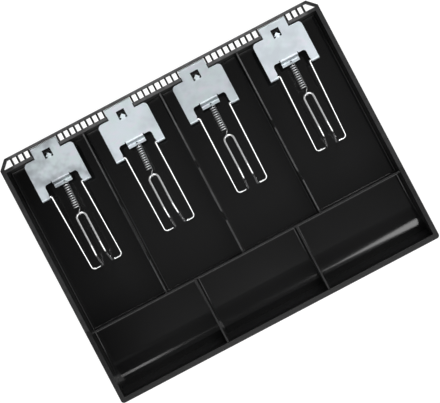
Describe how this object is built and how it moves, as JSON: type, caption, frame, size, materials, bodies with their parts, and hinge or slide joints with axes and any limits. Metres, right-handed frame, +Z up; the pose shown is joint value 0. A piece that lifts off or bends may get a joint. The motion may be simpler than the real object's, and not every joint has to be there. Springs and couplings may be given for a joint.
{
  "type": "cash drawer insert",
  "caption": "Shallow moulded tray with bill bays, scooped coin bays and a rear rail that carries sprung wire hold-down clips for the notes.",
  "frame": {"origin": "middle of the tray's underside", "axes": "+X to the right, +Y to the rear clip rail, +Z up"},
  "size_m": [0.33, 0.25, 0.0369],
  "materials": {
    "black_plastic": "satin moulded black plastic",
    "zinc_plate": "bright zinc plating with a faint blue passivation",
    "bright_wire": "bright plated drawn wire",
    "spring_steel": "bright spring wire"
  },
  "bodies": {
    "tray": {"tray_moulding": "black_plastic", "clip_plate_1": "zinc_plate", "clip_plate_2": "zinc_plate", "clip_plate_3": "zinc_plate", "clip_plate_4": "zinc_plate"},
    "hold_down_1": {"hold_down_wire_1": "bright_wire"},
    "spring_1": {"clip_spring_1": "spring_steel"},
    "hold_down_2": {"hold_down_wire_2": "bright_wire"},
    "spring_2": {"clip_spring_2": "spring_steel"},
    "hold_down_3": {"hold_down_wire_3": "bright_wire"},
    "spring_3": {"clip_spring_3": "spring_steel"},
    "hold_down_4": {"hold_down_wire_4": "bright_wire"},
    "spring_4": {"clip_spring_4": "spring_steel"}
  },
  "joints": [
    {"name": "clip_1_lift", "type": "hinge", "parent": "tray", "child": "hold_down_1", "pos_m": [-0.1186, 0.0745, 0.03395], "axis": [-1, 0, 0], "range_deg": [0, 88.2], "stiffness_Nm_per_rad": 0.01, "springref_deg": -45.84, "deforming": ["clip_spring_1"]},
    {"name": "spring_1_swing", "type": "hinge", "parent": "tray", "child": "spring_1", "pos_m": [-0.1175, 0.0802, 0.028], "axis": [-1, 0, 0], "range_deg": [0, 68], "deforming": ["clip_spring_1"]},
    {"name": "clip_2_lift", "type": "hinge", "parent": "tray", "child": "hold_down_2", "pos_m": [-0.0417, 0.0745, 0.03395], "axis": [-1, 0, 0], "range_deg": [0, 88.2], "stiffness_Nm_per_rad": 0.01, "springref_deg": -45.84, "deforming": ["clip_spring_2"]},
    {"name": "spring_2_swing", "type": "hinge", "parent": "tray", "child": "spring_2", "pos_m": [-0.0414, 0.0802, 0.028], "axis": [-1, 0, 0], "range_deg": [0, 68], "deforming": ["clip_spring_2"]},
    {"name": "clip_3_lift", "type": "hinge", "parent": "tray", "child": "hold_down_3", "pos_m": [0.0353, 0.0745, 0.03395], "axis": [-1, 0, 0], "range_deg": [0, 88.2], "stiffness_Nm_per_rad": 0.01, "springref_deg": -45.84, "deforming": ["clip_spring_3"]},
    {"name": "spring_3_swing", "type": "hinge", "parent": "tray", "child": "spring_3", "pos_m": [0.0354, 0.0802, 0.028], "axis": [-1, 0, 0], "range_deg": [0, 68], "deforming": ["clip_spring_3"]},
    {"name": "clip_4_lift", "type": "hinge", "parent": "tray", "child": "hold_down_4", "pos_m": [0.1188, 0.0745, 0.03395], "axis": [-1, 0, 0], "range_deg": [0, 88.2], "stiffness_Nm_per_rad": 0.01, "springref_deg": -45.84, "deforming": ["clip_spring_4"]},
    {"name": "spring_4_swing", "type": "hinge", "parent": "tray", "child": "spring_4", "pos_m": [0.1189, 0.0802, 0.028], "axis": [-1, 0, 0], "range_deg": [0, 68], "deforming": ["clip_spring_4"]}
  ],
  "couplings": [
    {"joint": "spring_1_swing", "follows": "clip_1_lift", "ratio": 0.76776},
    {"joint": "spring_2_swing", "follows": "clip_2_lift", "ratio": 0.76776},
    {"joint": "spring_3_swing", "follows": "clip_3_lift", "ratio": 0.76776},
    {"joint": "spring_4_swing", "follows": "clip_4_lift", "ratio": 0.76776}
  ]
}
